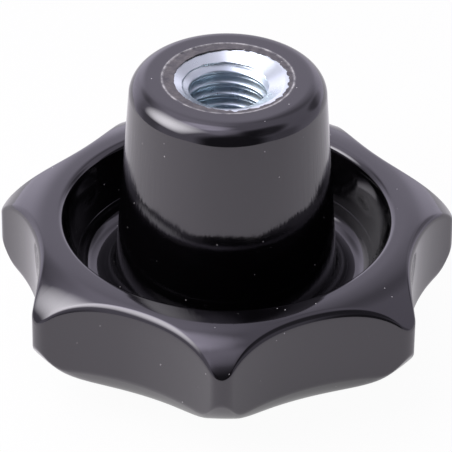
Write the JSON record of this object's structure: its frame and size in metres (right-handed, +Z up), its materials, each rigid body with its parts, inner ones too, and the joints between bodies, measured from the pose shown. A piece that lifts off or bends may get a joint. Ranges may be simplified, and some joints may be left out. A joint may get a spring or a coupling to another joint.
{
  "type": "star knob",
  "caption": "Lobed star-shaped hand knob with a domed face, a cored-out recess, a tapered hub and a threaded blind steel bush.",
  "frame": {"origin": "on the thread's axis, at the small flat in the middle of the domed face that the knob rests on", "axes": "+Z up along the thread's axis, out of the bush's mouth; -Y through the tip of one lobe"},
  "size_m": [0.0616, 0.0601, 0.041],
  "materials": {
    "black_phenolic": "glossy black phenolic moulding",
    "zinc_plated_steel": "bright turned steel, zinc plated"
  },
  "bodies": {
    "root": {"knob_body": "black_phenolic", "threaded_bush": "zinc_plated_steel"}
  },
  "joints": []
}
